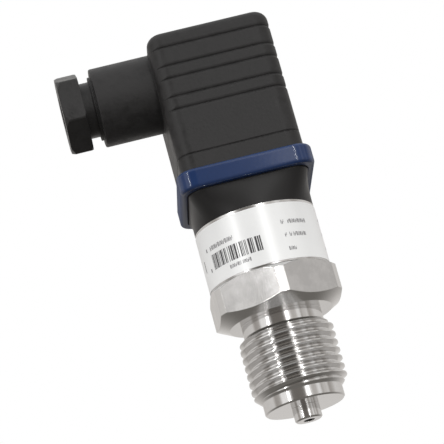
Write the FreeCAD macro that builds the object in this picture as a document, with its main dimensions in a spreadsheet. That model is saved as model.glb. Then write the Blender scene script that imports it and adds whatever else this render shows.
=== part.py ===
"""Pressure transmitter with a G 1/2 pipe thread and an angular valve-type plug, in millimetres.

Z is the instrument's axis, up from the sealing shoulder at z = 0. The cable entry points along
-X, and -Y is the front. Every driving size stands once in SIZES and goes into the spreadsheet.
A Size carries the spreadsheet expression along with its number, so that arithmetic on sizes gives
both: the number draws, the expression binds.
"""

import FreeCAD
import Part
import Sketcher
import math
import os

SIZES = {
    # Process connection, downwards from the sealing shoulder
    "relief_length": 2.7,
    "relief_diameter": 17.8,
    "thread_length": 14.7,
    "thread_diameter": 20.955,
    "thread_pitch": 1.814,
    "thread_depth": 1.162,
    "thread_flat": 0.3,
    "thread_flank_angle": 27.5,
    "thread_lead_in": 1.2,
    "pilot_length": 2.6,
    "pilot_diameter": 17.6,
    "spigot_length": 3.0,
    "spigot_diameter": 6.0,
    "spigot_edge": 0.3,
    "port_diameter": 2.5,
    # Hexagon and the register above it
    "hex_height": 8.8,
    "hex_across_flats": 27.0,
    "hex_turned_diameter": 30.0,
    "hex_turn": 3.6,
    "shoulder_diameter": 23.0,
    "hex_lower_chamfer": 2.0,
    "hex_upper_chamfer": 1.2,
    "register_height": 3.2,
    # Measuring cell in its recess
    "cell_floor": 3.5,
    "cell_diameter": 19.0,
    "cell_height": 5.5,
    "cell_clearance": 0.1,
    "cell_seal_section": 1.1,
    "cell_seal_diameter": 15.6,
    "diaphragm_diameter": 11.0,
    "diaphragm_depth": 0.6,
    "ring_height": 2.4,
    "ring_bore": 12.0,
    "ring_slot": 2.0,
    "lead_diameter": 0.7,
    "lead_circle": 7.0,
    # Case
    "case_length": 13.75,
    "case_diameter": 26.8,
    "case_wall": 1.2,
    "label_thickness": 0.1,
    "label_lower_margin": 0.35,
    "label_upper_margin": 0.6,
    "label_seam": 3.0,
    "spacer_wall": 1.5,
    "board_height": 5.8,
    "board_thickness": 1.6,
    "board_clearance": 0.6,
    "chip_length": 6.0,
    "chip_width": 4.4,
    "chip_height": 1.3,
    "capacitor_length": 2.0,
    "capacitor_width": 1.25,
    "capacitor_height": 0.9,
    "capacitor_circle": 12.0,
    # Connector base
    "base_width": 26.6,
    "base_corner": 3.9,
    "base_taper_height": 6.0,
    "base_height": 8.45,
    "base_skirt": 3.9,
    "base_fit": 0.3,
    "base_recess_diameter": 12.0,
    "base_recess_depth": 1.4,
    "base_seal_section": 1.5,
    "insert_diameter": 5.6,
    "insert_length": 7.8,
    # Flat contact pins and the socket contacts that take them
    "pin_circle": 18.0,
    "pin_width": 6.3,
    "pin_thickness": 0.8,
    "pin_reach": 11.5,
    "pin_root": 5.0,
    "pin_tail_width": 2.4,
    "pin_point": 0.8,
    "pin_clearance": 0.15,
    "contact_wall": 0.8,
    "contact_floor": 1.5,
    "contact_height": 9.0,
    "contact_clearance": 0.1,
    "terminal_depth": 5.0,
    "terminal_height": 4.0,
    "wire_hole": 2.4,
    # Profile gasket
    "gasket_width": 30.0,
    "gasket_corner": 4.1,
    "gasket_web": 1.2,
    "gasket_lower_lip": 2.15,
    "gasket_upper_lip": 1.15,
    "gasket_base_clearance": 0.15,
    "gasket_plug_clearance": 0.3,
    "gasket_edge": 0.85,
    "gasket_slot_clearance": 0.5,
    "gasket_hole": 5.0,
    # Plug housing
    "housing_width": 27.4,
    "housing_height": 34.1,
    "housing_corner": 3.5,
    "housing_top_edge": 2.5,
    "housing_wall": 2.5,
    "carrier_height": 11.2,
    "carrier_clearance": 0.1,
    "boss_diameter": 9.8,
    "screw_recess_diameter": 6.8,
    "screw_recess_depth": 4.2,
    "grip_groove_width": 1.2,
    "grip_groove_depth": 0.38,
    "grip_shoulder_width": 0.4,
    "grip_shoulder_depth": 0.13,
    "grip_lowest": 15.45,
    "grip_narrow_step": 2.95,
    "grip_wide_step": 4.35,
    "grip_run_out": 1.1,
    "seam_groove_height": 4.8,
    "seam_groove_width": 0.45,
    "seam_groove_depth": 0.25,
    # Fixing screw
    "screw_diameter": 3.0,
    "screw_clearance": 0.25,
    "screw_running": 0.06,
    "screw_end": 6.5,
    "screw_head_diameter": 5.5,
    "screw_head_height": 2.4,
    "screw_slot_width": 0.9,
    "screw_slot_depth": 1.2,
    "screw_seal_height": 0.9,
    "terminal_screw_head": 4.6,
    "terminal_screw_head_height": 1.6,
    "terminal_screw_reach": 3.0,
    # Cable gland
    "gland_height": 24.85,
    "barrel_diameter": 17.8,
    "barrel_reach": 27.1,
    "barrel_edge": 0.4,
    "barrel_lip": 0.6,
    "barrel_lip_diameter": 14.4,
    "gland_thread_diameter": 12.5,
    "gland_running": 0.08,
    "gland_seat": 13.0,
    "gland_inner_bore": 9.2,
    "gland_seal_length": 5.0,
    "gland_seal_bore": 7.2,
    "gland_seal_fit": 0.15,
    "gland_washer_gap": 2.2,
    "gland_washer_thickness": 0.8,
    "gland_washer_bore": 7.8,
    "gland_washer_clearance": 0.3,
    "gland_screw_gap": 2.9,
    "gland_screw_head": 4.9,
    "gland_screw_across_flats": 16.4,
    "gland_screw_turned_diameter": 18.7,
    "gland_screw_turn": 2.6,
    "gland_screw_edge": 0.8,
    "gland_screw_bore": 8.4,
}

doc = FreeCAD.newDocument("PressureTransmitter")
sheet = doc.addObject("Spreadsheet::Sheet", "Dimensions")
for row, (alias, number) in enumerate(SIZES.items(), 1):
    sheet.set("A%d" % row, alias)
    sheet.set("B%d" % row, str(number))
    sheet.setAlias("B%d" % row, alias)
doc.recompute()


# ---- Sizes ----


class Size:
    """A number together with the spreadsheet expression that it comes from."""

    def __init__(self, text, value):
        self.text = text
        self.value = value

    def __add__(self, other):
        other = as_size(other)
        return Size("(%s + %s)" % (self.text, other.text), self.value + other.value)

    def __sub__(self, other):
        other = as_size(other)
        return Size("(%s - %s)" % (self.text, other.text), self.value - other.value)

    def __mul__(self, factor):
        factor = as_size(factor)
        return Size("(%s * %s)" % (self.text, factor.text), self.value * factor.value)

    def __truediv__(self, other):
        other = as_size(other)
        return Size("(%s / %s)" % (self.text, other.text), self.value / other.value)

    def __rsub__(self, other):
        return as_size(other) - self

    def __neg__(self):
        return Size("(0 - %s)" % self.text, -self.value)

    __radd__ = __add__
    __rmul__ = __mul__


def as_size(thing):
    """A plain number as a Size, and a Size as it is."""
    return thing if isinstance(thing, Size) else Size("(%s)" % thing, float(thing))


def size(alias):
    """One driving size from the spreadsheet."""
    return Size("Dimensions." + alias, SIZES[alias])


def half(alias):
    return size(alias) / 2


def cosine(turn):
    """The cosine of a Size in degrees."""
    turn = as_size(turn)
    return Size("cos(%s * 1 deg)" % turn.text, math.cos(math.radians(turn.value)))


def sine(turn):
    turn = as_size(turn)
    return Size("sin(%s * 1 deg)" % turn.text, math.sin(math.radians(turn.value)))


def tangent(turn):
    turn = as_size(turn)
    return Size("tan(%s * 1 deg)" % turn.text, math.tan(math.radians(turn.value)))


def bind(item, **links):
    """Tie properties to sizes: a double underscore in a name stands for a dot."""
    for name, amount in links.items():
        item.setExpression(name.replace("__", "."), as_size(amount).text)


# ---- Sketches and features ----


def new_body(name):
    body = doc.addObject("PartDesign::Body", name)
    body.Label = name
    return body


def sketch_on(body, name, role, offset=0):
    """A sketch on one of the body's own origin planes, moved along the plane's normal by offset."""
    sketch = body.newObject("Sketcher::SketchObject", name)
    plane = [item for item in body.Origin.OriginFeatures if item.Role == role][0]
    sketch.AttachmentSupport = [(plane, "")]
    sketch.MapMode = "FlatFace"
    bind(sketch, AttachmentOffset__Base__z=offset)
    return sketch


def place_point(sketch, geometry, end, x, y):
    """Hold one point of a sketch at x and y from the sketch's origin."""
    for kind, amount in (("DistanceX", as_size(x)), ("DistanceY", as_size(y))):
        number = sketch.addConstraint(Sketcher.Constraint(kind, -1, 1, geometry, end, amount.value))
        sketch.setExpression("Constraints[%d]" % number, amount.text)


def arc_between(start, finish, centre):
    """The counterclockwise arc from start to finish around centre, as plain geometry."""
    middle = FreeCAD.Vector(centre[0].value, centre[1].value, 0)
    first = math.atan2(start.y - middle.y, start.x - middle.x)
    last = math.atan2(finish.y - middle.y, finish.x - middle.x)
    circle = Part.Circle(middle, FreeCAD.Vector(0, 0, 1), start.distanceToPoint(middle))
    return Part.ArcOfCircle(circle, first, last if last > first else last + 2 * math.pi)


def place_centre(sketch, geometry, start, finish, centre):
    """The one constraint that an arc between two held points still needs."""
    wide = abs(finish.x - start.x) > abs(finish.y - start.y)
    kind, amount = ("DistanceY", centre[1]) if wide else ("DistanceX", centre[0])
    number = sketch.addConstraint(Sketcher.Constraint(kind, -1, 1, geometry, 3, amount.value))
    sketch.setExpression("Constraints[%d]" % number, amount.text)


def draw(sketch, corners, centres=None, closed=True):
    """Lines through corners, each an (x, y). The stretch after corner i is an arc if centres has i."""
    corners = [(as_size(x), as_size(y)) for x, y in corners]
    centres = {i: (as_size(x), as_size(y)) for i, (x, y) in (centres or {}).items()}
    spots = [FreeCAD.Vector(x.value, y.value, 0) for x, y in corners]
    count = len(corners) if closed else len(corners) - 1
    first = sketch.GeometryCount
    for i in range(count):
        start, finish = spots[i], spots[(i + 1) % len(spots)]
        line = Part.LineSegment(start, finish)
        if i in centres:
            line = arc_between(start, finish, centres[i])
        sketch.addGeometry(line, False)
    for i in range(count if closed else count - 1):
        sketch.addConstraint(Sketcher.Constraint("Coincident", first + i, 2, first + (i + 1) % count, 1))
    for i in range(count):
        place_point(sketch, first + i, 1, *corners[i])
    if not closed:
        place_point(sketch, first + count - 1, 2, *corners[-1])
    for i, centre in centres.items():
        place_centre(sketch, first + i, spots[i], spots[(i + 1) % len(spots)], centre)


def draw_circle(sketch, x, y, diameter):
    x, y, diameter = as_size(x), as_size(y), as_size(diameter)
    centre, normal = FreeCAD.Vector(x.value, y.value, 0), FreeCAD.Vector(0, 0, 1)
    geometry = sketch.addGeometry(Part.Circle(centre, normal, diameter.value / 2), False)
    place_point(sketch, geometry, 3, x, y)
    number = sketch.addConstraint(Sketcher.Constraint("Diameter", geometry, diameter.value))
    sketch.setExpression("Constraints[%d]" % number, diameter.text)


def draw_rectangle(sketch, half_x, half_y, x=0, y=0):
    x, y = as_size(x), as_size(y)
    left, right, front, back = x - half_x, x + half_x, y - half_y, y + half_y
    draw(sketch, [(left, front), (right, front), (right, back), (left, back)])


def draw_rounded_square(sketch, reach, radius):
    """A square of half width reach around the origin, with rounded corners."""
    flat = reach - radius
    corners = [(-flat, -reach), (flat, -reach), (reach, -flat), (reach, flat)]
    corners += [(flat, reach), (-flat, reach), (-reach, flat), (-reach, -flat)]
    draw(sketch, corners, {1: (flat, -flat), 3: (flat, flat), 5: (-flat, flat), 7: (-flat, -flat)})


def hexagon(across_flats, turn):
    """The corners of a hexagon with one corner turned by turn from the first axis."""
    radius = across_flats / 2 / cosine(30)
    return [(radius * cosine(turn + 60 * i), radius * sine(turn + 60 * i)) for i in range(6)]


def extrude(body, kind, sketch, length, reverse=False, both_ways=False):
    """A Pad or a Pocket of the sketch."""
    feature = body.newObject("PartDesign::" + kind, sketch.Name + "_" + kind.lower())
    feature.Profile = sketch
    feature.Reversed = reverse
    feature.Midplane = both_ways
    bind(feature, Length=length)
    return feature


def turn_profile(body, kind, sketch, axis="V_Axis", angle=360):
    """A Revolution or a Groove of the sketch."""
    feature = body.newObject("PartDesign::" + kind, sketch.Name + "_" + kind.lower())
    feature.Profile = sketch
    feature.ReferenceAxis = (sketch, [axis])
    bind(feature, Angle=angle)
    return feature


def turned(name, corners, angle=360):
    """A body of revolution around Z, from an outline of (radius, height) corners."""
    body = new_body(name)
    sketch = sketch_on(body, name + "_profile", "XZ_Plane")
    draw(sketch, corners)
    turn_profile(body, "Revolution", sketch, angle=angle)
    return body


def ring(name, bore, diameter, bottom, top, angle=360):
    """A plain ring around Z."""
    inner, outer = bore / 2, diameter / 2
    return turned(name, [(inner, bottom), (outer, bottom), (outer, top), (inner, top)], angle)


def edges_where(shape, wanted):
    """The names of the shape's edges whose middle point fits the condition."""
    names = []
    for number, edge in enumerate(shape.Edges, 1):
        middle = edge.valueAt((edge.FirstParameter + edge.LastParameter) / 2)
        if wanted(edge, middle):
            names.append("Edge%d" % number)
    return names


def round_edges(body, wanted, radius, kind="Fillet"):
    """Fillet or chamfer those edges of the body's last feature that fit the condition."""
    doc.recompute()
    base = body.Tip
    feature = body.newObject("PartDesign::" + kind, body.Name + "_" + kind.lower())
    feature.Base = (base, edges_where(base.Shape, wanted))
    bind(feature, **{"Radius" if kind == "Fillet" else "Size": radius})
    return feature


def near(one, other):
    return abs(one - as_size(other).value) < 1e-4


# ---- Levels and radii that several pieces share ----

THREAD_TOP = -size("relief_length")
THREAD_END = THREAD_TOP - size("thread_length")
PILOT_END = THREAD_END - size("pilot_length")
HEX_TOP = size("hex_height")
REGISTER_TOP = HEX_TOP + size("register_height")
CELL_FLOOR = size("cell_floor")
CELL_TOP = CELL_FLOOR + size("cell_height")
RECESS_BORE = size("cell_diameter") + size("cell_clearance") * 2
CASE_BORE = size("case_diameter") - size("case_wall") * 2
CASE_TOP = HEX_TOP + size("case_length")
BOARD_BOTTOM = HEX_TOP + size("board_height")
BOARD_TOP = BOARD_BOTTOM + size("board_thickness")
SKIRT_BOTTOM = CASE_TOP - size("base_skirt")
BASE_TOP = CASE_TOP + size("base_height")
PLUG_SEAT = BASE_TOP + size("gasket_web")
CARRIER_TOP = PLUG_SEAT + size("carrier_height")
HOUSING_TOP = PLUG_SEAT + size("housing_height")
CAVITY_TOP = HOUSING_TOP - size("housing_wall")
CAVITY_REACH = half("housing_width") - size("housing_wall")
CAVITY_CORNER = size("housing_corner") - size("housing_wall")
GLAND_AXIS = PLUG_SEAT + size("gland_height")
CONTACT_BOTTOM = PLUG_SEAT + size("contact_floor")
CONTACT_TOP = CONTACT_BOTTOM + size("contact_height")
TERMINAL_TOP = CONTACT_TOP + size("terminal_height")
SCREW_SEAT = HOUSING_TOP - size("screw_recess_depth") + size("screw_seal_height")
PIN_TOP = BASE_TOP + size("pin_reach")
PIN_RADIUS = half("pin_circle")
SLOT_WIDTH = size("pin_width") + size("pin_clearance") * 2
SLOT_THICKNESS = size("pin_thickness") + size("pin_clearance") * 2
CONTACT_WIDTH = SLOT_WIDTH + size("contact_wall") * 2
CONTACT_THICKNESS = SLOT_THICKNESS + size("contact_wall") * 2
GLAND_BORE = size("gland_thread_diameter") + size("gland_running") * 2
SEAL_END = size("gland_seat") + size("gland_seal_length")
WASHER_INNER = SEAL_END + size("gland_washer_gap")
WASHER_OUTER = WASHER_INNER + size("gland_washer_thickness")
QUARTERS = (0, 90, 180, 270)
GRIP_RUN_OUT_TURN = 75


# ---- Process connection and measuring cell ----


def process_connection():
    """One turned piece: spigot, pilot, G 1/2 thread, relief, hexagon, register and the bores."""
    port, pilot, thread = half("port_diameter"), half("pilot_diameter"), half("thread_diameter")
    spigot, edge, turned_hex = half("spigot_diameter"), size("spigot_edge"), half("hex_turned_diameter")
    tip = PILOT_END - size("spigot_length")
    body = turned("process_connection", [
        (port, tip),
        (spigot - edge, tip),
        (spigot, tip + edge),
        (spigot, PILOT_END),
        (pilot - edge, PILOT_END),
        (pilot, PILOT_END + edge),
        (pilot, THREAD_END),
        (thread, THREAD_END + thread - pilot),
        (thread, THREAD_TOP - size("thread_lead_in")),
        (half("relief_diameter"), THREAD_TOP),
        (half("relief_diameter"), 0),
        (half("shoulder_diameter"), 0),
        (turned_hex, size("hex_lower_chamfer")),
        (turned_hex, HEX_TOP - size("hex_upper_chamfer")),
        (half("case_diameter") + size("label_thickness"), HEX_TOP),
        (CASE_BORE / 2, HEX_TOP),
        (CASE_BORE / 2, REGISTER_TOP),
        (RECESS_BORE / 2, REGISTER_TOP),
        (RECESS_BORE / 2, CELL_FLOOR),
        (port, CELL_FLOOR),
    ])
    mill_hexagon(body, 0, size("hex_turned_diameter"), size("hex_across_flats"),
                 size("hex_turn") + 30, HEX_TOP)
    cut_thread(body)
    return body


def mill_hexagon(body, bottom, turned_diameter, across_flats, turn, length):
    """Take away what lies outside a hexagon, over length upwards from bottom."""
    sketch = sketch_on(body, body.Name + "_hexagon", "XY_Plane", bottom)
    draw_circle(sketch, 0, 0, turned_diameter * 1.2)
    draw(sketch, hexagon(across_flats, turn))
    extrude(body, "Pocket", sketch, length, reverse=True)


def cut_thread(body):
    """Sweep the groove of a right-handed thread, from below the lead-in up into the relief."""
    pitch, depth = size("thread_pitch"), size("thread_depth")
    root, proud = half("thread_diameter") - depth, depth / 10
    floor = size("thread_flat") / 2
    mouth = floor + (depth + proud) * tangent(size("thread_flank_angle"))
    start = THREAD_END - pitch / 3
    sketch = sketch_on(body, "thread_groove", "XZ_Plane")
    draw(sketch, [
        (root, start - floor),
        (root + depth + proud, start - mouth),
        (root + depth + proud, start + mouth),
        (root, start + floor),
    ])
    helix = body.newObject("PartDesign::SubtractiveHelix", "thread")
    helix.Profile = sketch
    helix.ReferenceAxis = (sketch, ["V_Axis"])
    helix.Mode = "pitch-height-angle"
    helix.LeftHanded = False
    bind(helix, Pitch=pitch, Height=size("thread_length") + pitch * 0.8)


def o_ring(name, diameter, section, height):
    """A rubber ring around Z, diameter measured at the middle of its section."""
    body = new_body(name)
    sketch = sketch_on(body, name + "_section", "XZ_Plane")
    draw_circle(sketch, diameter / 2, height, section)
    turn_profile(body, "Revolution", sketch)
    return body


def measuring_cell():
    """Round cell with a diaphragm over the port and a groove for its seal."""
    groove = size("cell_seal_section") * 0.65
    middle, roof = half("cell_seal_diameter"), CELL_FLOOR + size("cell_seal_section")
    return turned("measuring_cell", [
        (0, CELL_FLOOR + size("diaphragm_depth")),
        (half("diaphragm_diameter"), CELL_FLOOR + size("diaphragm_depth")),
        (half("diaphragm_diameter"), CELL_FLOOR),
        (middle - groove, CELL_FLOOR),
        (middle - groove, roof),
        (middle + groove, roof),
        (middle + groove, CELL_FLOOR),
        (half("cell_diameter"), CELL_FLOOR),
        (half("cell_diameter"), CELL_TOP),
        (0, CELL_TOP),
    ])


def retaining_ring():
    """Screwed ring that holds the cell down, with two spanner slots."""
    top = CELL_TOP + size("ring_height")
    body = ring("retaining_ring", size("ring_bore"), RECESS_BORE, CELL_TOP, top)
    sketch = sketch_on(body, "spanner_slots", "XY_Plane", top)
    draw_rectangle(sketch, RECESS_BORE, half("ring_slot"))
    extrude(body, "Pocket", sketch, half("ring_height"))
    return body


def cylinder(name, diameter, bottom, top, x=0, y=0):
    item = doc.addObject("Part::Cylinder", name)
    bind(item, Radius=diameter / 2, Height=top - bottom)
    bind(item, Placement__Base__x=x, Placement__Base__y=y, Placement__Base__z=bottom)
    return item


def box(name, length, width, bottom, top, x=0, y=0):
    """A box centred on x and y."""
    x, y = as_size(x), as_size(y)
    item = doc.addObject("Part::Box", name)
    bind(item, Length=length, Width=width, Height=top - bottom, Placement__Base__z=bottom)
    bind(item, Placement__Base__x=x - length / 2, Placement__Base__y=y - width / 2)
    return item


def group(name, items):
    """Several separate solids as one node."""
    compound = doc.addObject("Part::Compound", name)
    compound.Links = items
    compound.Label = name
    return compound


def cell_leads():
    circle = half("lead_circle")
    return group("cell_leads", [
        cylinder("lead_%d" % turn, size("lead_diameter"), CELL_TOP, BOARD_BOTTOM,
                 circle * cosine(turn + 45), circle * sine(turn + 45))
        for turn in QUARTERS
    ])


# ---- Case and circuit ----


def rating_label():
    """Foil wrapped around the case, with its seam at the back."""
    inner = size("case_diameter")
    bottom, top = HEX_TOP + size("label_lower_margin"), CASE_TOP - size("label_upper_margin")
    body = ring("rating_label", inner, inner + size("label_thickness") * 2, bottom, top,
                360 - size("label_seam"))
    body.Placement.Rotation = FreeCAD.Rotation(FreeCAD.Vector(0, 0, 1), 90)
    return body


def amplifier_chip():
    chip = box("amplifier_chip", size("chip_length"), size("chip_width"), BOARD_TOP,
               BOARD_TOP + size("chip_height"))
    chip.Label = "amplifier_chip"
    return chip


def board_capacitors():
    circle = half("capacitor_circle")
    return group("board_capacitors", [
        box("capacitor_%d" % turn, size("capacitor_length"), size("capacitor_width"), BOARD_TOP,
            BOARD_TOP + size("capacitor_height"), circle * cosine(turn + 45), circle * sine(turn + 45))
        for turn in QUARTERS
    ])


# ---- Connector base ----


def draw_at_pins(sketch, length, width, radius=PIN_RADIUS):
    """A rectangle at each of the four pins, with length across and width along the radius."""
    sides = {0: (0, -1), 90: (1, 0), 180: (0, 1), 270: (-1, 0)}
    for turn in QUARTERS:
        x, y = sides[turn]
        wide, deep = (width, length) if x else (length, width)
        draw_rectangle(sketch, wide / 2, deep / 2, radius * x, radius * y)


def connector_base():
    """Moulding that is round on the case and square under the plug, with a sealed skirt in the case."""
    body = new_body("connector_base")
    foot = sketch_on(body, "base_foot", "XY_Plane", CASE_TOP)
    draw_arcs_of_circle(foot, half("case_diameter"))
    head = sketch_on(body, "base_head", "XY_Plane", CASE_TOP + size("base_taper_height"))
    draw_rounded_square(head, half("base_width"), size("base_corner"))
    taper = body.newObject("PartDesign::AdditiveLoft", "base_taper")
    taper.Profile = foot
    taper.Sections = [head]
    taper.Ruled = True
    block = sketch_on(body, "base_block", "XY_Plane", CASE_TOP + size("base_taper_height"))
    draw_rounded_square(block, half("base_width"), size("base_corner"))
    extrude(body, "Pad", block, size("base_height") - size("base_taper_height"))
    skirt = sketch_on(body, "base_skirt_ring", "XY_Plane", SKIRT_BOTTOM)
    draw_circle(skirt, 0, 0, CASE_BORE - size("base_fit") * 2)
    extrude(body, "Pad", skirt, size("base_skirt"))
    cut_seal_groove(body)
    hole = sketch_on(body, "insert_hole", "XY_Plane", BASE_TOP)
    draw_circle(hole, 0, 0, size("insert_diameter"))
    extrude(body, "Pocket", hole, size("insert_length"))
    recess = sketch_on(body, "base_recess", "XY_Plane", SKIRT_BOTTOM)
    draw_circle(recess, 0, 0, size("base_recess_diameter"))
    extrude(body, "Pocket", recess, size("base_recess_depth"), reverse=True)
    blades = sketch_on(body, "blade_seats", "XY_Plane", BASE_TOP)
    draw_at_pins(blades, size("pin_width"), size("pin_thickness"))
    extrude(body, "Pocket", blades, size("pin_root"))
    tails = sketch_on(body, "tail_seats", "XY_Plane", BASE_TOP)
    draw_at_pins(tails, size("pin_tail_width"), size("pin_thickness"))
    extrude(body, "Pocket", tails, BASE_TOP - SKIRT_BOTTOM)
    return body


def draw_arcs_of_circle(sketch, radius):
    """A circle in eight arcs that match the sides and corners of a rounded square."""
    turns = [-125, -55, -35, 35, 55, 125, 145, 215]
    corners = [(radius * cosine(turn), radius * sine(turn)) for turn in turns]
    draw(sketch, corners, {i: (0, 0) for i in range(len(turns))})


def cut_seal_groove(body):
    section = size("base_seal_section")
    middle, reach = CASE_TOP - half("base_skirt"), section * 0.65
    sketch = sketch_on(body, "seal_groove", "XZ_Plane")
    floor = CASE_BORE / 2 - section
    draw(sketch, [
        (floor, middle - reach),
        (CASE_BORE / 2, middle - reach),
        (CASE_BORE / 2, middle + reach),
        (floor, middle + reach),
    ])
    turn_profile(body, "Groove", sketch)


def at_pin(body, turn):
    """Move a body that is drawn for a pin at the origin to the pin at that turn, seen from the front."""
    body.Placement.Rotation = FreeCAD.Rotation(FreeCAD.Vector(0, 0, 1), turn)
    x, y = PIN_RADIUS * sine(turn), -(PIN_RADIUS * cosine(turn))
    bind(body, Placement__Base__x=x, Placement__Base__y=y)
    return body


def contact_pin(name, turn):
    """Flat blade with a pointed end above and a narrow tail down to the board."""
    blade, tail, point = half("pin_width"), half("pin_tail_width"), size("pin_point")
    root = BASE_TOP - size("pin_root")
    body = new_body(name)
    sketch = sketch_on(body, name + "_outline", "XZ_Plane")
    draw(sketch, [
        (-tail, BOARD_TOP), (tail, BOARD_TOP), (tail, root), (blade, root),
        (blade, PIN_TOP - point), (blade - point, PIN_TOP), (point - blade, PIN_TOP),
        (-blade, PIN_TOP - point), (-blade, root), (-tail, root),
    ])
    extrude(body, "Pad", sketch, size("pin_thickness"), both_ways=True)
    return at_pin(body, turn)


# ---- Profile gasket ----


def profile_gasket():
    """Flat web between base and plug, with one lip down around the base and one up around the plug."""
    bottom, top = BASE_TOP - size("gasket_lower_lip"), PLUG_SEAT + size("gasket_upper_lip")
    below, above = size("gasket_base_clearance"), size("gasket_plug_clearance")
    slack = size("gasket_slot_clearance") * 2
    body = new_body("profile_gasket")
    outside = sketch_on(body, "gasket_outside", "XY_Plane", bottom)
    draw_rounded_square(outside, half("gasket_width"), size("gasket_corner"))
    extrude(body, "Pad", outside, top - bottom)
    rims = (bottom, top)
    round_edges(body, lambda edge, middle: any(near(middle.z, rim) for rim in rims), size("gasket_edge"))
    lower = sketch_on(body, "gasket_lower", "XY_Plane", bottom)
    draw_rounded_square(lower, half("base_width") + below, size("base_corner") + below)
    extrude(body, "Pocket", lower, size("gasket_lower_lip"), reverse=True)
    upper = sketch_on(body, "gasket_upper", "XY_Plane", top)
    draw_rounded_square(upper, half("housing_width") + above, size("housing_corner") + above)
    extrude(body, "Pocket", upper, size("gasket_upper_lip"))
    slots = sketch_on(body, "gasket_slots", "XY_Plane", PLUG_SEAT)
    draw_at_pins(slots, size("pin_width") + slack, size("pin_thickness") + slack)
    draw_circle(slots, 0, 0, size("gasket_hole"))
    extrude(body, "Pocket", slots, size("gasket_web"))
    return body


# ---- Plug ----


def plug_housing():
    """Hollow moulding with grip grooves, a boss for the fixing screw and a barrel for the gland."""
    body = new_body("plug_housing")
    reach, top_edge = half("housing_width"), size("housing_top_edge")
    block = sketch_on(body, "housing_block", "XY_Plane", PLUG_SEAT)
    draw_rounded_square(block, reach, size("housing_corner"))
    extrude(body, "Pad", block, size("housing_height"))
    round_edges(body, lambda edge, middle: near(middle.z, HOUSING_TOP), top_edge)
    add_barrel(body)
    cavity = sketch_on(body, "housing_cavity", "XY_Plane", PLUG_SEAT)
    draw_rounded_square(cavity, CAVITY_REACH, CAVITY_CORNER)
    extrude(body, "Pocket", cavity, CAVITY_TOP - PLUG_SEAT, reverse=True)
    boss = sketch_on(body, "screw_boss", "XY_Plane", CARRIER_TOP)
    draw_circle(boss, 0, 0, size("boss_diameter"))
    extrude(body, "Pad", boss, CAVITY_TOP - CARRIER_TOP + half("housing_wall"))
    recess = sketch_on(body, "screw_recess", "XY_Plane", HOUSING_TOP)
    draw_circle(recess, 0, 0, size("screw_recess_diameter"))
    extrude(body, "Pocket", recess, size("screw_recess_depth"))
    passage = sketch_on(body, "screw_passage", "XY_Plane", HOUSING_TOP)
    draw_circle(passage, 0, 0, size("screw_diameter") + size("screw_clearance") * 2)
    extrude(body, "Pocket", passage, HOUSING_TOP - CARRIER_TOP)
    bore_barrel(body)
    step, lowest = size("grip_narrow_step") + size("grip_wide_step"), PLUG_SEAT + size("grip_lowest")
    narrow = size("grip_narrow_step")
    levels = [lowest, lowest + narrow, lowest + step, lowest + step + narrow, lowest + step * 2]
    for number, level in enumerate(levels, 1):
        cut_grip_groove(body, "grip_%d" % number, level)
    cut_seam_groove(body)
    return body


def add_barrel(body):
    """Round barrel for the gland, with a small lip around its mouth."""
    barrel = sketch_on(body, "gland_barrel", "YZ_Plane", -size("barrel_reach"))
    draw_circle(barrel, 0, GLAND_AXIS, size("barrel_diameter"))
    extrude(body, "Pad", barrel, size("barrel_reach") - CAVITY_REACH)
    end = -size("barrel_reach")
    round_edges(body, lambda edge, middle: near(middle.x, end), size("barrel_edge"))
    lip = sketch_on(body, "barrel_lip", "YZ_Plane", end - size("barrel_lip"))
    draw_circle(lip, 0, GLAND_AXIS, size("barrel_lip_diameter"))
    extrude(body, "Pad", lip, size("barrel_lip") + size("barrel_edge"))


def bore_barrel(body):
    """The wide bore for gland screw and seal, then the narrow way into the plug."""
    wide = sketch_on(body, "gland_bore", "YZ_Plane", -size("barrel_reach") - size("barrel_lip"))
    draw_circle(wide, 0, GLAND_AXIS, GLAND_BORE)
    depth = size("barrel_reach") + size("barrel_lip") - size("gland_seat")
    extrude(body, "Pocket", wide, depth, reverse=True)
    narrow = sketch_on(body, "cable_way", "YZ_Plane", -size("gland_seat"))
    draw_circle(narrow, 0, GLAND_AXIS, size("gland_inner_bore"))
    extrude(body, "Pocket", narrow, size("gland_seat") - CAVITY_REACH, reverse=True)


def cut_grip_groove(body, name, level):
    """A crease with sloped shoulders on all sides but the gland's, where it runs out at the corners."""
    reach, corner = half("housing_width"), size("housing_corner")
    flat, run_out = reach - corner, corner + size("grip_run_out")
    centre = reach - run_out
    end_x, end_y = -flat - run_out * sine(GRIP_RUN_OUT_TURN), centre + run_out * cosine(GRIP_RUN_OUT_TURN)
    path = sketch_on(body, name + "_path", "XY_Plane", level)
    draw(path, [
        (end_x, -end_y), (-flat, -reach), (flat, -reach), (reach, -flat),
        (reach, flat), (flat, reach), (-flat, reach), (end_x, end_y),
    ], {0: (-flat, -centre), 2: (flat, -flat), 4: (flat, flat), 6: (-flat, centre)}, closed=False)
    wide, shoulder = half("grip_groove_width"), half("grip_shoulder_width")
    shallow, outer = size("grip_shoulder_depth"), wide + (wide - shoulder) / 2
    section = sketch_on(body, name + "_section", "YZ_Plane")
    draw(section, [
        (-reach - shallow / 2, level - outer),
        (shallow - reach, level - shoulder),
        (size("grip_groove_depth") - reach, level),
        (shallow - reach, level + shoulder),
        (-reach - shallow / 2, level + outer),
    ])
    sweep_groove(body, name, path, section)


def cut_seam_groove(body):
    """The shallow line around the foot of the housing."""
    reach, corner = half("housing_width"), size("housing_corner")
    wide, deep = half("seam_groove_width"), size("seam_groove_depth")
    level = PLUG_SEAT + size("seam_groove_height")
    path = sketch_on(body, "seam_path", "XY_Plane", level)
    draw_rounded_square(path, reach, corner)
    section = sketch_on(body, "seam_section", "YZ_Plane")
    draw(section, [
        (-reach - deep, level + wide * 2),
        (-reach - deep, level - wide * 2),
        (deep - reach, level),
    ])
    sweep_groove(body, "seam", path, section)


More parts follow.
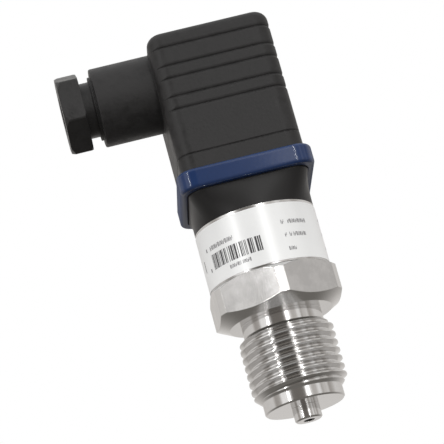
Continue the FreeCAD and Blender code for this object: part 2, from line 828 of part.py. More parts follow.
def sweep_groove(body, name, path, section):
    sweep = body.newObject("PartDesign::SubtractivePipe", name + "_groove")
    sweep.Profile = section
    sweep.Spine = (path, [])
    return sweep


def contact_carrier():
    """Moulded block in the plug that holds the socket contacts."""
    body = new_body("contact_carrier")
    slack = size("contact_clearance") * 2
    block = sketch_on(body, "carrier_block", "XY_Plane", PLUG_SEAT)
    draw_rounded_square(block, CAVITY_REACH - size("carrier_clearance"), CAVITY_CORNER)
    extrude(body, "Pad", block, size("carrier_height"))
    hole = sketch_on(body, "carrier_hole", "XY_Plane", CARRIER_TOP)
    draw_circle(hole, 0, 0, size("screw_diameter") + size("screw_clearance") * 2)
    extrude(body, "Pocket", hole, size("carrier_height"))
    nests = sketch_on(body, "contact_nests", "XY_Plane", CARRIER_TOP)
    draw_at_pins(nests, CONTACT_WIDTH + slack, CONTACT_THICKNESS + slack)
    extrude(body, "Pocket", nests, CARRIER_TOP - CONTACT_BOTTOM)
    seats = sketch_on(body, "terminal_nests", "XY_Plane", CARRIER_TOP)
    inset = (size("terminal_depth") - CONTACT_THICKNESS) / 2
    draw_at_pins(seats, CONTACT_WIDTH + slack, size("terminal_depth") + slack, PIN_RADIUS - inset)
    extrude(body, "Pocket", seats, CARRIER_TOP - CONTACT_TOP)
    slits = sketch_on(body, "blade_slits", "XY_Plane", PLUG_SEAT)
    draw_at_pins(slits, SLOT_WIDTH, SLOT_THICKNESS)
    extrude(body, "Pocket", slits, CONTACT_BOTTOM - PLUG_SEAT, reverse=True)
    return body


def socket_contact(name, turn):
    """Folded channel that takes a blade, with a terminal block and its wire hole on top."""
    body = new_body(name)
    middle = size("terminal_depth") / 2 - CONTACT_THICKNESS / 2
    channel = sketch_on(body, name + "_channel", "XY_Plane", CONTACT_BOTTOM)
    draw_rectangle(channel, CONTACT_WIDTH / 2, CONTACT_THICKNESS / 2)
    extrude(body, "Pad", channel, size("contact_height"))
    block = sketch_on(body, name + "_block", "XY_Plane", CONTACT_TOP)
    draw_rectangle(block, CONTACT_WIDTH / 2, half("terminal_depth"), 0, middle)
    extrude(body, "Pad", block, size("terminal_height"))
    slot = sketch_on(body, name + "_slot", "XY_Plane", CONTACT_BOTTOM)
    draw_rectangle(slot, SLOT_WIDTH / 2, SLOT_THICKNESS / 2)
    extrude(body, "Pocket", slot, size("contact_height"), reverse=True)
    thread = sketch_on(body, name + "_thread", "XY_Plane", TERMINAL_TOP)
    draw_circle(thread, 0, middle, size("screw_diameter"))
    extrude(body, "Pocket", thread, size("terminal_screw_reach"))
    wire = sketch_on(body, name + "_wire", "YZ_Plane")
    draw_circle(wire, middle, CONTACT_TOP + half("terminal_height"), size("wire_hole"))
    extrude(body, "Pocket", wire, CONTACT_WIDTH * 2, both_ways=True)
    return at_pin(body, turn)


def terminal_screws():
    """One slotted screw in each socket contact."""
    radius = PIN_RADIUS - (size("terminal_depth") - CONTACT_THICKNESS) / 2
    head_top = TERMINAL_TOP + size("terminal_screw_head_height")
    screws = []
    for turn in QUARTERS:
        x, y = radius * sine(turn), -(radius * cosine(turn))
        shank = cylinder("terminal_shank_%d" % turn, size("screw_diameter"),
                         TERMINAL_TOP - size("terminal_screw_reach"), TERMINAL_TOP, x, y)
        head = cylinder("terminal_head_%d" % turn, size("terminal_screw_head"),
                        TERMINAL_TOP, head_top, x, y)
        screw = doc.addObject("Part::Fuse", "terminal_screw_%d" % turn)
        screw.Base, screw.Tool = shank, head
        slot = box("terminal_slot_%d" % turn, size("screw_slot_width"),
                   size("terminal_screw_head") * 1.2, head_top - half("terminal_screw_head_height"),
                   head_top + 1, x, y)
        slotted = doc.addObject("Part::Cut", "terminal_slotted_%d" % turn)
        slotted.Base, slotted.Tool = screw, slot
        screws.append(slotted)
    return group("terminal_screws", screws)


def fixing_screw():
    """M3 screw from the top of the plug down into the insert, its thread drawn as a plain cylinder."""
    radius, head = half("screw_diameter"), half("screw_head_diameter")
    tip, point = BASE_TOP - size("screw_end"), size("screw_slot_width") / 3
    top = SCREW_SEAT + size("screw_head_height")
    body = turned("fixing_screw", [
        (0, tip), (radius - point, tip), (radius, tip + point), (radius, SCREW_SEAT), (head, SCREW_SEAT),
        (head, top - point), (head - point, top), (0, top),
    ])
    slot = sketch_on(body, "fixing_slot", "XY_Plane", top)
    draw_rectangle(slot, head * 1.2, half("screw_slot_width"))
    extrude(body, "Pocket", slot, size("screw_slot_depth"))
    return body


# ---- Cable gland, drawn along Z and then laid along -X ----


def in_barrel(body):
    """Lay a body that is drawn along Z into the barrel, outwards along -X."""
    body.Placement.Rotation = FreeCAD.Rotation(FreeCAD.Vector(0, 1, 0), -90)
    bind(body, Placement__Base__z=GLAND_AXIS)
    return body


def gland_seal():
    bore, outside = size("gland_seal_bore"), GLAND_BORE - size("gland_seal_fit") * 2
    return in_barrel(ring("gland_seal", bore, outside, size("gland_seat"), SEAL_END))


def gland_washer():
    bore, outside = size("gland_washer_bore"), GLAND_BORE - size("gland_washer_clearance") * 2
    return in_barrel(ring("gland_washer", bore, outside, WASHER_INNER, WASHER_OUTER))


def gland_screw():
    """Hollow screw with a hexagon head, its thread drawn as a plain cylinder."""
    bore, neck = half("gland_screw_bore"), half("gland_thread_diameter")
    turned_head, edge = half("gland_screw_turned_diameter"), size("gland_screw_edge")
    face = size("barrel_reach") + size("gland_screw_gap")
    end = face + size("gland_screw_head")
    body = turned("gland_screw", [
        (bore, WASHER_OUTER), (neck, WASHER_OUTER), (neck, face), (turned_head - edge / 2, face),
        (turned_head, face + edge / 2), (turned_head, end - edge), (turned_head - edge, end),
        (bore + edge / 2, end), (bore, end - edge / 2),
    ])
    mill_hexagon(body, face, size("gland_screw_turned_diameter"), size("gland_screw_across_flats"),
                 size("gland_screw_turn"), size("gland_screw_head"))
    return in_barrel(body)


# ---- Assembly ----


def build():
    """Every piece of the transmitter, each with its node name as its Label."""
    pins = {"contact_pin_1": 0, "contact_pin_2": 180, "contact_pin_3": 90, "earth_pin": 270}
    sockets = {
        "socket_contact_1": 0,
        "socket_contact_2": 180,
        "socket_contact_3": 90,
        "earth_socket": 270,
    }
    board_diameter = CASE_BORE - size("board_clearance") * 2
    insert_bore = size("screw_diameter") + size("screw_running") * 2
    passage = size("screw_diameter") + size("screw_clearance") * 2
    seal_diameter = size("screw_recess_diameter") - size("screw_clearance") * 2
    pieces = [
        process_connection(),
        o_ring("cell_seal", size("cell_seal_diameter"), size("cell_seal_section"),
               CELL_FLOOR + half("cell_seal_section")),
        measuring_cell(),
        retaining_ring(),
        cell_leads(),
        ring("case_tube", CASE_BORE, size("case_diameter"), HEX_TOP, CASE_TOP),
        rating_label(),
        ring("board_spacer", CASE_BORE - size("spacer_wall") * 2, CASE_BORE, REGISTER_TOP, BOARD_BOTTOM),
        turned("circuit_board", [(0, BOARD_BOTTOM), (board_diameter / 2, BOARD_BOTTOM),
                                 (board_diameter / 2, BOARD_TOP), (0, BOARD_TOP)]),
        amplifier_chip(),
        board_capacitors(),
        connector_base(),
        o_ring("base_seal", CASE_BORE - size("base_seal_section"), size("base_seal_section"),
               CASE_TOP - half("base_skirt")),
        ring("screw_insert", insert_bore, size("insert_diameter"),
             BASE_TOP - size("insert_length"), BASE_TOP),
    ]
    pieces += [contact_pin(name, turn) for name, turn in pins.items()]
    pieces += [profile_gasket(), plug_housing(), contact_carrier()]
    pieces += [socket_contact(name, turn) for name, turn in sockets.items()]
    pieces += [
        terminal_screws(),
        ring("screw_seal", passage, seal_diameter, SCREW_SEAT - size("screw_seal_height"), SCREW_SEAT),
        fixing_screw(),
        gland_seal(),
        gland_washer(),
        gland_screw(),
    ]
    return pieces


def check_and_export(pieces):
    """Stop on any feature that failed, then write one STEP file for each piece."""
    doc.recompute()
    failed = [item.Name for item in doc.Objects if {"Invalid", "Error"} & set(item.State)]
    if failed:
        raise RuntimeError("features failed: " + ", ".join(failed))
    os.makedirs("parts", exist_ok=True)
    for piece in pieces:
        if piece.Shape.isNull() or not piece.Shape.isValid():
            raise RuntimeError("bad shape: " + piece.Label)
        piece.Shape.exportStep("parts/%s.step" % piece.Label)


check_and_export(build())
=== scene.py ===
"""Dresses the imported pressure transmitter: camera, studio, materials and the print on its label."""

import math

import bmesh
import bpy
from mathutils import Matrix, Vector


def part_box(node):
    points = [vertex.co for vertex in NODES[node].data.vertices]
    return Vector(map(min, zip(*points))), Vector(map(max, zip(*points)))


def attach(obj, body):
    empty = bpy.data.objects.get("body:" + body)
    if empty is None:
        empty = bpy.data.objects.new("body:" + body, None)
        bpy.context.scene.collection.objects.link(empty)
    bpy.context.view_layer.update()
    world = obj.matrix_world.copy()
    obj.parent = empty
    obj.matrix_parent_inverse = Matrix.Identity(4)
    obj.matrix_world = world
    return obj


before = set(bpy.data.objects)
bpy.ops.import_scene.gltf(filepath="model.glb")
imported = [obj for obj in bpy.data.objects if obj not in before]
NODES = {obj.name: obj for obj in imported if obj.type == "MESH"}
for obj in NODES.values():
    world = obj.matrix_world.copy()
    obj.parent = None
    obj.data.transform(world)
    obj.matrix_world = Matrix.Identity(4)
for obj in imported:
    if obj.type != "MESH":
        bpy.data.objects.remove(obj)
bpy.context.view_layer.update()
MM = 0.001


# ---- Small helpers ----


def direction(azimuth, elevation):
    """Unit vector towards a place, azimuth in degrees from -Y towards +X."""
    a, e = math.radians(azimuth), math.radians(elevation)
    return Vector((math.sin(a) * math.cos(e), -math.cos(a) * math.cos(e), math.sin(e)))


def srgb(red, green, blue):
    """A colour written as 0-255 screen values, as linear light."""
    out = []
    for value in (red, green, blue):
        v = value / 255
        out.append(v / 12.92 if v <= 0.04045 else ((v + 0.055) / 1.055) ** 2.4)
    return (*out, 1.0)


def tone(colour, factor):
    """The colour made lighter or darker by a factor."""
    return tuple(min(1.0, c * factor) for c in colour[:3]) + (1.0,)


class Tree:
    """Builds one node tree in plain calls."""

    def __init__(self, tree):
        self.tree = tree
        tree.nodes.clear()

    def add(self, kind, inputs=None, **settings):
        """A shader node with its settings made and its inputs fed."""
        node = self.tree.nodes.new("ShaderNode" + kind)
        for name, value in settings.items():
            setattr(node, name, value)
        for name, value in (inputs or {}).items():
            self.feed(node, name, value)
        return node

    def feed(self, node, name, value):
        """Link another node's output to an input, or set the input to a value."""
        socket = node.inputs[name]
        if isinstance(value, bpy.types.NodeSocket):
            self.tree.links.new(value, socket)
        else:
            socket.default_value = value

    def math(self, operation, *values, clamp=False):
        node = self.add("Math", operation=operation, use_clamp=clamp)
        for i, value in enumerate(values):
            self.feed(node, i, value)
        return node.outputs[0]

    def mix(self, factor, first, second):
        """Colour mix, from first at 0 to second at 1."""
        node = self.add("Mix", data_type="RGBA", clamp_factor=True)
        self.feed(node, "Factor", factor)
        self.feed(node, 6, first)
        self.feed(node, 7, second)
        return node.outputs[2]

    def blend(self, factor, first, second):
        """Number from first at factor 0 to second at factor 1."""
        node = self.add("Mix", data_type="FLOAT", clamp_factor=True)
        for name, value in (("Factor", factor), (2, first), (3, second)):
            self.feed(node, name, value)
        return node.outputs[0]

    def span(self, value, low, high, to_low=0.0, to_high=1.0):
        """Smooth step from to_low at low to to_high at high."""
        node = self.add("MapRange", clamp=True, interpolation_type="SMOOTHSTEP")
        for i, part in enumerate((value, low, high, to_low, to_high)):
            self.feed(node, i, part)
        return node.outputs[0]

    def noise(self, vector, scale, detail=2.0, roughness=0.5):
        return self.add(
            "TexNoise",
            {"Vector": vector, "Scale": scale, "Detail": detail, "Roughness": roughness},
        ).outputs["Fac"]


# ---- Camera ----

VIEW_AZIMUTH = -5.052
VIEW_ELEVATION = -16.872
VIEW_TILT = 15.304
VIEW_DISTANCE = 0.49414
VIEW_TARGET = Vector((-0.00684, 0.0, 0.02454))
LENS = 182.85


def make_camera():
    """Camera that looks up at the front, with the picture turned around its middle."""
    azimuth = math.radians(VIEW_AZIMUTH)
    back = direction(VIEW_AZIMUTH, VIEW_ELEVATION)
    right = Vector((math.cos(azimuth), math.sin(azimuth), 0))
    up = back.cross(right)
    tilt = math.radians(VIEW_TILT)
    x = right * math.cos(tilt) - up * math.sin(tilt)
    y = right * math.sin(tilt) + up * math.cos(tilt)
    data = bpy.data.cameras.new("camera")
    data.lens = LENS
    data.clip_start = 0.01
    data.clip_end = 20
    camera = bpy.data.objects.new("camera", data)
    bpy.context.scene.collection.objects.link(camera)
    matrix = camera.matrix_world.to_3x3()
    for column, axis in enumerate((x, y, back)):
        for row in range(3):
            matrix[row][column] = axis[row]
    camera.matrix_world = matrix.to_4x4()
    camera.location = VIEW_TARGET + back * VIEW_DISTANCE
    bpy.context.scene.camera = camera


# ---- Studio ----

LAMPS = (  # name, azimuth and elevation in degrees, distance, width and height in metres, radiance
    ("left_box", -43.4, 17, 1.3, 0.115, 1.5, 1.3),
    ("left_core", -43.4, 17, 1.29, 0.012, 1.3, 44.0),
    ("right_box", 13.0, 17, 1.3, 0.25, 1.5, 1.0),
    ("right_core", 13.0, 17, 1.29, 0.012, 1.3, 44.0),
)
TOP_LAMP = ("top_box", -20, 78, 1.2, 1.0, 1.0, 0.9)
FLOOR_REACH = 3.0
FLOOR_LEVEL = -0.32


def softbox(name, azimuth, elevation, distance, width, height, radiance):
    """Area lamp facing the object, its power worked out from the radiance of its face."""
    data = bpy.data.lights.new(name, "AREA")
    data.shape = "RECTANGLE"
    data.size = width
    data.size_y = height
    data.energy = radiance * math.pi * width * height
    lamp = bpy.data.objects.new(name, data)
    bpy.context.scene.collection.objects.link(lamp)
    away = direction(azimuth, elevation)
    lamp.location = VIEW_TARGET + away * distance
    lamp.rotation_euler = away.to_track_quat("Z", "Y").to_euler()
    return lamp


def make_lamps():
    """Two wide boxes, each with a narrow bright core, and one from above that no reflection shows."""
    for lamp in LAMPS:
        softbox(*lamp)
    softbox(*TOP_LAMP).visible_glossy = False


ROOM = (  # how bright the room looks towards each azimuth: behind, by -X to the front, by +X to behind again
    (-180, 0.80), (-162, 0.66), (-140, 0.76), (-98, 0.84), (-93, 0.62), (-88, 0.44), (-72, 0.54),
    (-66, 1.15), (-52, 1.10), (-48, 0.92), (-38, 0.92), (-34, 0.20), (0, 0.20), (4, 0.30), (8, 0.90),
    (20, 0.90), (26, 0.60), (38, 0.68), (43, 1.05), (50, 1.00), (54, 0.46), (60, 0.72), (67, 0.72),
    (71, 0.82), (75, 0.82), (79, 0.44), (90, 0.58), (104, 0.86), (125, 0.80), (150, 0.70), (180, 0.80),
)
ROOM_ABOVE = (0.85, 0.85, 0.85, 1)
ROOM_BELOW = (0.20, 0.19, 0.175, 1)
WHITE = (1, 1, 1, 1)


def make_world():
    """White where the camera looks, pale panels and dark gaps in reflections, a fill that fades below."""
    world = bpy.data.worlds.new("studio")
    bpy.context.scene.world = world
    world.use_nodes = True
    t = Tree(world.node_tree)
    split = t.add("SeparateXYZ", {"Vector": t.add("TexCoord").outputs["Generated"]}).outputs
    turn = t.math("ARCTAN2", split["X"], t.math("MULTIPLY", split["Y"], -1.0))
    ramp = t.add("ValToRGB", {"Fac": t.math("MULTIPLY_ADD", turn, 0.5 / math.pi, 0.5)})
    stops = ramp.color_ramp.elements
    while len(stops) < len(ROOM):
        stops.new(0.5)
    for stop, (azimuth, level) in zip(stops, ROOM):
        stop.position = azimuth / 360 + 0.5
        white = min(1.0, level)
        stop.color = (level, level * (0.90 + 0.09 * white), level * (0.80 + 0.18 * white), 1)
    above = t.span(split["Z"], 0.45, 0.9)
    below = t.span(split["Z"], -0.15, -0.80)
    room = t.mix(above, ramp.outputs["Color"], ROOM_ABOVE)
    room = t.mix(below, room, ROOM_BELOW)
    side = t.math("MULTIPLY_ADD", split["X"], 0.07, t.math("MULTIPLY_ADD", split["Y"], -0.12, 1.0))
    fill = t.math("MULTIPLY", t.span(split["Z"], -0.70, 0.10, 0.14, 1.02), side)
    path = t.add("LightPath").outputs
    seen = t.math("ADD", path["Is Glossy Ray"], path["Is Transmission Ray"], clamp=True)
    colour = t.mix(seen, fill, room)
    colour = t.mix(path["Is Camera Ray"], colour, WHITE)
    background = t.add("Background", {"Color": colour, "Strength": 1.0})
    output = t.add("OutputWorld")
    t.tree.links.new(background.outputs[0], output.inputs["Surface"])


def make_floor():
    """Pale floor far enough below that a camera that looks up stays above it."""
    mesh = bpy.data.meshes.new("floor")
    b = bmesh.new()
    corners = ((-1, -1), (1, -1), (1, 1), (-1, 1))
    b.faces.new([b.verts.new((x * FLOOR_REACH, y * FLOOR_REACH, FLOOR_LEVEL)) for x, y in corners])
    b.to_mesh(mesh)
    b.free()
    floor = bpy.data.objects.new("floor", mesh)
    bpy.context.scene.collection.objects.link(floor)
    material = bpy.data.materials.new("floor")
    material.use_nodes = True
    t = Tree(material.node_tree)
    place = t.add("TexCoord").outputs["Object"]
    colour = t.mix(t.noise(place, 3.0), srgb(238, 238, 238), srgb(246, 246, 246))
    shader = t.add("BsdfPrincipled", {"Base Color": colour, "Roughness": 0.9})
    output = t.add("OutputMaterial")
    t.tree.links.new(shader.outputs[0], output.inputs["Surface"])
    mesh.materials.append(material)
    floor.visible_diffuse = floor.visible_glossy = False


# ---- Materials ----

PLAIN_SCALE = 4500  # noise scales, in cells a metre
WEAR_AND_HIGHLIGHT_SCALE = 700
PATCH_SCALE = 260
BEVEL_SAMPLES = 6
BLACK = (0, 0, 0, 1)
FLATS_RADIUS = 14.1 * MM  # the hexagon's flats lie this far from Z, give or take FLATS_SPREAD
FLATS_SPREAD = 0.86 * MM
UPRIGHT = 0.2  # a face is upright where its normal's Z is below this


def surface(name, colour, roughness, grain=None, relief=0.0, metallic=0.0, edge=0.0, edge_light=1.0,
            variation=0.06, rough_spread=0.08, drift_size=11.0 * MM, grazing_roughness=None,
            zone=None, zone_grain=None, zone_roughness=0.0, zone_tone=1.0, **uniform):
    """Procedural finish in object space: colour drift, fine grain, uneven gloss, softened edges and a
    painted highlight along them.

    grain is a function of (tree, place) that gives the height of the texture from 0 to 1, and relief is its
    depth in metres. edge is the radius in metres to which sharp edges look rounded, and along which the
    colour is lightened as a painted highlight.
    zone is a function of (tree, place) that is 1 where zone_grain and zone_roughness apply instead,
    and where the colour is darkened in patches to about zone_tone. grazing_roughness takes over where
    the surface turns away from the view, and uniform holds the shader's other inputs.
    """
    material = bpy.data.materials.new(name)
    material.use_nodes = True
    t = Tree(material.node_tree)
    place = t.add("TexCoord").outputs["Object"]
    height = grain(t, place) if grain else t.noise(place, PLAIN_SCALE, 3)
    drift = t.noise(place, 1 / drift_size, 4, 0.6)
    level = roughness
    if zone:
        inside = zone(t, place)
        height = t.blend(inside, height, zone_grain(t, place))
        level = t.blend(inside, roughness, zone_roughness)
    base = t.mix(t.span(drift, 0.3, 0.7), tone(colour, 1 - variation), tone(colour, 1 + variation))
    base = t.mix(t.math("MULTIPLY", t.span(height, 0.35, 0.8), 0.5), base, tone(colour, 1 + variation * 2))
    if zone:
        patchy = t.span(t.noise(place, PATCH_SCALE, 3, 0.6), 0.35, 0.65, zone_tone - 0.05, zone_tone + 0.05)
        base = t.mix(t.math("MULTIPLY", inside, t.math("SUBTRACT", 1.0, patchy)), base, BLACK)
    rough = t.math("ADD", level, t.math("MULTIPLY", t.math("SUBTRACT", drift, 0.5), rough_spread * 2))
    uneven = t.math("MULTIPLY", t.math("SUBTRACT", height, 0.5), rough_spread)
    rough = t.math("ADD", rough, uneven, clamp=True)
    if grazing_roughness:
        away = t.add("LayerWeight", {"Blend": 0.5}).outputs["Facing"]
        rough = t.blend(t.span(away, 0.5, 0.85), rough, grazing_roughness)
    normal = None
    if edge:
        bevel = t.add("Bevel", {"Radius": edge}, samples=BEVEL_SAMPLES)
        normal = bevel.outputs[0]
        true_normal = t.add("NewGeometry").outputs["Normal"]
        bend = t.add("VectorMath", {0: normal, 1: true_normal}, operation="DOT_PRODUCT").outputs["Value"]
        rim = t.span(bend, 0.985, 0.80)
        # Painted highlight: the colour is lightened along sharp edges, in patches set by noise; the lower
        # roughness there stands for polish from wear.
        wear_and_highlight = t.math("MULTIPLY", rim, t.span(t.noise(place, WEAR_AND_HIGHLIGHT_SCALE, 3), 0.35, 0.65, 0.35, 1.0))
        base = t.mix(t.math("MULTIPLY", wear_and_highlight, 0.6), base, tone(colour, edge_light))
        rough = t.math("SUBTRACT", rough, t.math("MULTIPLY", wear_and_highlight, roughness * 0.25))
    inputs = {"Base Color": base, "Roughness": rough, "Metallic": metallic}
    inputs.update({key.replace("_", " "): value for key, value in uniform.items()})
    bump_inputs = {"Height": height, "Distance": relief, "Strength": 1.0}
    if normal is not None:
        bump_inputs["Normal"] = normal
    if relief or normal is not None:
        inputs["Normal"] = t.add("Bump", bump_inputs).outputs[0]
    shader = t.add("BsdfPrincipled", inputs)
    output = t.add("OutputMaterial")
    t.tree.links.new(shader.outputs[0], output.inputs["Surface"])
    return material


def moulded_grain(size):
    """Spark-eroded texture of a moulded surface, size in metres."""
    def grain(t, place):
        coarse = t.noise(place, 1 / size, 3, 0.55)
        cells = t.add("TexVoronoi", {"Vector": place, "Scale": 0.7 / size}, feature="SMOOTH_F1")
        pits = t.math("MULTIPLY", cells.outputs["Distance"], 0.45)
        return t.math("ADD", t.math("MULTIPLY", coarse, 0.65), pits)
    return grain


def turning_lines(pitch):
    """Fine lines left by the lathe, running around Z."""
    def grain(t, place):
        split = t.add("SeparateXYZ", {"Vector": place}).outputs
        flat = t.add("CombineXYZ", {"X": split["X"], "Y": split["Y"]}).outputs[0]
        radius = t.add("VectorMath", {0: flat}, operation="LENGTH").outputs["Value"]
        around = t.add("VectorMath", {0: flat, "Scale": 0.02}, operation="SCALE").outputs[0]
        lines = t.add("CombineXYZ", {"X": radius, "Z": split["Z"]}).outputs[0]
        lines = t.add("VectorMath", {0: lines, 1: around}, operation="ADD").outputs[0]
        return t.noise(lines, 1 / pitch, 2, 0.6)
    return grain


def brushed(pitch, stretch):
    """Directionless fine scratches, longer along Z."""
    def grain(t, place):
        scaled = t.add("VectorMath", {0: place, 1: (1, 1, 1 / stretch)}, operation="MULTIPLY").outputs[0]
        return t.noise(scaled, 1 / pitch, 3, 0.6)
    return grain


def hexagon_flats(t, place):
    """1 on the six milled flats of the hexagon, 0 on everything that is turned."""
    split = t.add("SeparateXYZ", {"Vector": place}).outputs
    flat = t.add("CombineXYZ", {"X": split["X"], "Y": split["Y"]}).outputs[0]
    radius = t.add("VectorMath", {0: flat}, operation="LENGTH").outputs["Value"]
    level = t.add("SeparateXYZ", {"Vector": t.add("NewGeometry").outputs["Normal"]}).outputs["Z"]
    upright = t.math("LESS_THAN", t.math("ABSOLUTE", level), UPRIGHT)
    return t.math("MULTIPLY", t.math("COMPARE", radius, FLATS_RADIUS, FLATS_SPREAD), upright)


CHARCOAL = srgb(34, 33, 33)
# The factor that lightens the colour along sharp edges in each finish is a painted highlight.
FINISHES = {
    "plug_plastic": dict(colour=CHARCOAL, roughness=0.50, grain=moulded_grain(0.62 * MM), relief=0.042 * MM,
                         edge=0.35 * MM, edge_light=1.35, variation=0.28, rough_spread=0.20,
                         drift_size=2.5 * MM, Specular_IOR_Level=0.34),
    "gland_plastic": dict(colour=CHARCOAL, roughness=0.38, grain=moulded_grain(0.45 * MM),
                          relief=0.020 * MM, edge=0.35 * MM, edge_light=1.4, variation=0.22,
                          rough_spread=0.16, drift_size=2.5 * MM, Specular_IOR_Level=0.33),
    "base_plastic": dict(colour=srgb(30, 29, 29), roughness=0.43, grain=moulded_grain(0.26 * MM),
                         relief=0.010 * MM, edge=0.2 * MM, edge_light=1.3, Specular_IOR_Level=0.33),
    "carrier_plastic": dict(colour=srgb(40, 40, 42), roughness=0.5, relief=0.006 * MM, edge=0.15 * MM,
                            edge_light=1.3),
    "inner_plastic": dict(colour=srgb(205, 202, 192), roughness=0.5, relief=0.004 * MM),
    "gasket_rubber": dict(colour=srgb(24, 46, 86), roughness=0.07, grain=moulded_grain(0.6 * MM),
                          relief=0.003 * MM, edge=0.4 * MM, edge_light=2.0, rough_spread=0.03,
                          grazing_roughness=0.65, Specular_IOR_Level=0.5),
    "seal_rubber": dict(colour=srgb(34, 34, 36), roughness=0.6, relief=0.006 * MM),
    "turned_steel": dict(colour=srgb(206, 205, 204), roughness=0.13, metallic=1.0,
                         grain=turning_lines(0.10 * MM), relief=0.0012 * MM, edge=0.2 * MM,
                         edge_light=1.15, rough_spread=0.05, variation=0.03, zone=hexagon_flats,
                         zone_grain=brushed(0.25 * MM, 6.0), zone_roughness=0.08,
                         zone_tone=0.82),
    "case_steel": dict(colour=srgb(206, 205, 204), roughness=0.2, metallic=1.0,
                       grain=turning_lines(0.08 * MM), relief=0.001 * MM, edge=0.1 * MM,
                       edge_light=1.15, variation=0.03),
    "cell_steel": dict(colour=srgb(200, 197, 192), roughness=0.25, metallic=1.0,
                       grain=turning_lines(0.08 * MM), relief=0.001 * MM, variation=0.03),
    "label_foil": dict(colour=srgb(232, 232, 231), roughness=0.29, metallic=0.10,
                       grain=brushed(0.35 * MM, 1.0), relief=0.0006 * MM, variation=0.012,
                       rough_spread=0.02),
    "screw_steel": dict(colour=srgb(196, 192, 184), roughness=0.3, metallic=1.0,
                        grain=turning_lines(0.12 * MM), relief=0.001 * MM, edge=0.1 * MM, edge_light=1.15),
    "pin_metal": dict(colour=srgb(205, 200, 190), roughness=0.28, metallic=1.0,
                      grain=brushed(0.1 * MM, 8.0), relief=0.001 * MM, edge=0.06 * MM, edge_light=1.15),
    "lead_metal": dict(colour=srgb(214, 186, 120), roughness=0.3, metallic=1.0,
                       grain=brushed(0.1 * MM, 8.0), relief=0.001 * MM),
    "insert_brass": dict(colour=srgb(205, 170, 98), roughness=0.32, metallic=1.0,
                         grain=turning_lines(0.12 * MM), relief=0.001 * MM, edge=0.1 * MM, edge_light=1.15),
    "board_laminate": dict(colour=srgb(36, 92, 58), roughness=0.4, grain=brushed(0.4 * MM, 1.0),
                           relief=0.003 * MM),
    "chip_plastic": dict(colour=srgb(38, 38, 40), roughness=0.45, relief=0.003 * MM, edge=0.1 * MM,
                         edge_light=1.3),
    "capacitor_body": dict(colour=srgb(168, 132, 92), roughness=0.4, relief=0.003 * MM),
}


def dress_nodes():
    """Give each node's material slots the finish of the same name."""
    made = {}
    for node in NODES.values():
        for index, old in enumerate(node.data.materials):
            name = old.name.split(".")[0]
            if name not in made:
                made[name] = surface(name + "_finish", **FINISHES[name])
            node.data.materials[index] = made[name]


# ---- Print on the label ----


PATCH_STEP = 3  # degrees between the corners of a patch that follows the label
BAR_INK, STROKE_INK = 0, 1


def arc_patch(b, radius, turn_from, turn_to, low, high, ink=STROKE_INK):
    """A thin patch lying on the label, turns in degrees from -Y towards +X, heights in metres."""
    steps = max(1, round(abs(turn_to - turn_from) / PATCH_STEP))
    rows = []
    for i in range(steps + 1):
        turn = math.radians(turn_from + (turn_to - turn_from) * i / steps)
        x, y = math.sin(turn) * radius, -math.cos(turn) * radius
        rows.append((b.verts.new((x, y, low)), b.verts.new((x, y, high))))
    for (a, d), (c, e) in zip(rows, rows[1:]):
        b.faces.new((a, c, e, d)).material_index = ink


PRINT_LIFT = 0.012 * MM  # how far the print stands off the foil
BAR_TURNS = (-58.8, -4.2)  # where the bars start and end, in degrees
BAR_LEVELS = (3.15, 6.5)  # their lower and upper end, in mm above the label's lower edge
BARS = (  # generic bars as (bar, gap), counted in equal steps
    (1, 1), (2, 1), (1, 1), (1, 1), (3, 1), (1, 1), (1, 2), (1, 1), (3, 1), (1, 2), (2, 1), (1, 3), (1, 2),
    (2, 1), (3, 1), (1, 1), (3, 2), (1, 3), (2, 1), (1, 1), (1, 2), (1, 1), (1, 3), (3, 1), (2, 1), (1, 3),
    (3, 1), (2, 1), (2, 0),
)
STROKES = (  # short strokes in place of writing: width and gap in degrees, lower and upper end as shares
    (0.55, 0.50, 0.0, 1.0), (0.95, 0.45, 0.1, 0.9), (0.50, 0.60, 0.0, 1.0), (0.80, 0.50, 0.0, 0.7),
    (0.50, 0.55, 0.3, 1.0), (1.00, 0.55, 0.0, 1.0), (0.55, 0.70, 0.0, 0.9),
)
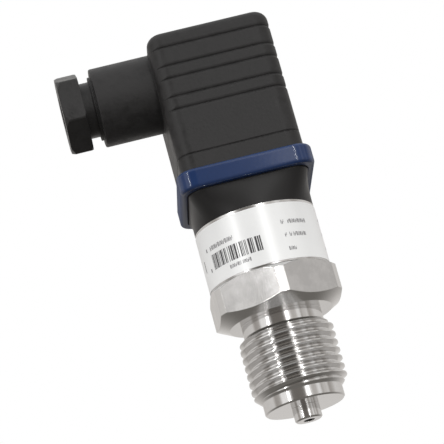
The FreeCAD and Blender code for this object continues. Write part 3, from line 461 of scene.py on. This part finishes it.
LINES = (  # rows of strokes: level above the label's lower edge and height in mm, then stretches in degrees
    (7.95, 1.05, ((-58.7, -29.3),)),
    (2.05, 0.85, ((-39.4, -27.5), (-25.5, -17.0))),
    (8.40, 0.95, ((17.8, 20.6), (24.6, 45.2))),
    (5.45, 0.95, ((18.6, 20.8), (23.4, 26.0), (27.4, 42.0))),
    (2.30, 0.85, ((19.2, 27.0),)),
    (9.45, 0.80, ((75.4, 78.0),)),
    (6.20, 0.80, ((76.0, 78.6),)),
    (3.00, 0.80, ((75.8, 78.2),)),
)
MARKS = (  # small solid marks: start and end in degrees, lower and upper end in mm
    (-65.6, -63.9, 7.6, 8.4), (-65.6, -63.9, 3.1, 3.9), (-77.5, -76.1, 4.0, 6.6),
)


def stroke_line(b, radius, start, finish, level, height):
    """A row of strokes from start to finish, which begins the pattern at a place of its own."""
    turn, i = start, round(start * start)
    while turn < finish:
        wide, gap, lower, upper = STROKES[i % len(STROKES)]
        foot = level - height / 2
        arc_patch(b, radius, turn, min(turn + wide, finish), foot + height * lower, foot + height * upper)
        turn, i = turn + wide + gap, i + 1


def label_print():
    """Generic bars, rows of strokes and marks, just above the foil."""
    low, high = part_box("rating_label")
    radius = high.x + PRINT_LIFT
    b = bmesh.new()
    first, last = BAR_TURNS
    step = (last - first) / sum(bar + gap for bar, gap in BARS)
    foot, head = (low.z + level * MM for level in BAR_LEVELS)
    turn = first
    for bar, gap in BARS:
        arc_patch(b, radius, turn, turn + bar * step, foot, head, ink=BAR_INK)
        turn += (bar + gap) * step
    for level, height, stretches in LINES:
        for start, finish in stretches:
            stroke_line(b, radius, start, finish, low.z + level * MM, height * MM)
    for start, finish, lower, upper in MARKS:
        arc_patch(b, radius, start, finish, low.z + lower * MM, low.z + upper * MM)
    mesh = bpy.data.meshes.new("label_print")
    b.to_mesh(mesh)
    b.free()
    for name, shade in (("bar_ink", 62), ("stroke_ink", 112)):
        mesh.materials.append(surface(name, srgb(shade, shade - 2, shade), 0.5, relief=0.001 * MM))
    piece = bpy.data.objects.new("label_print", mesh)
    bpy.context.scene.collection.objects.link(piece)
    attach(piece, "instrument")


# ---- Everything together ----

bpy.context.scene.view_settings.view_transform = "Standard"
make_camera()
make_world()
make_lamps()
make_floor()
dress_nodes()
label_print()
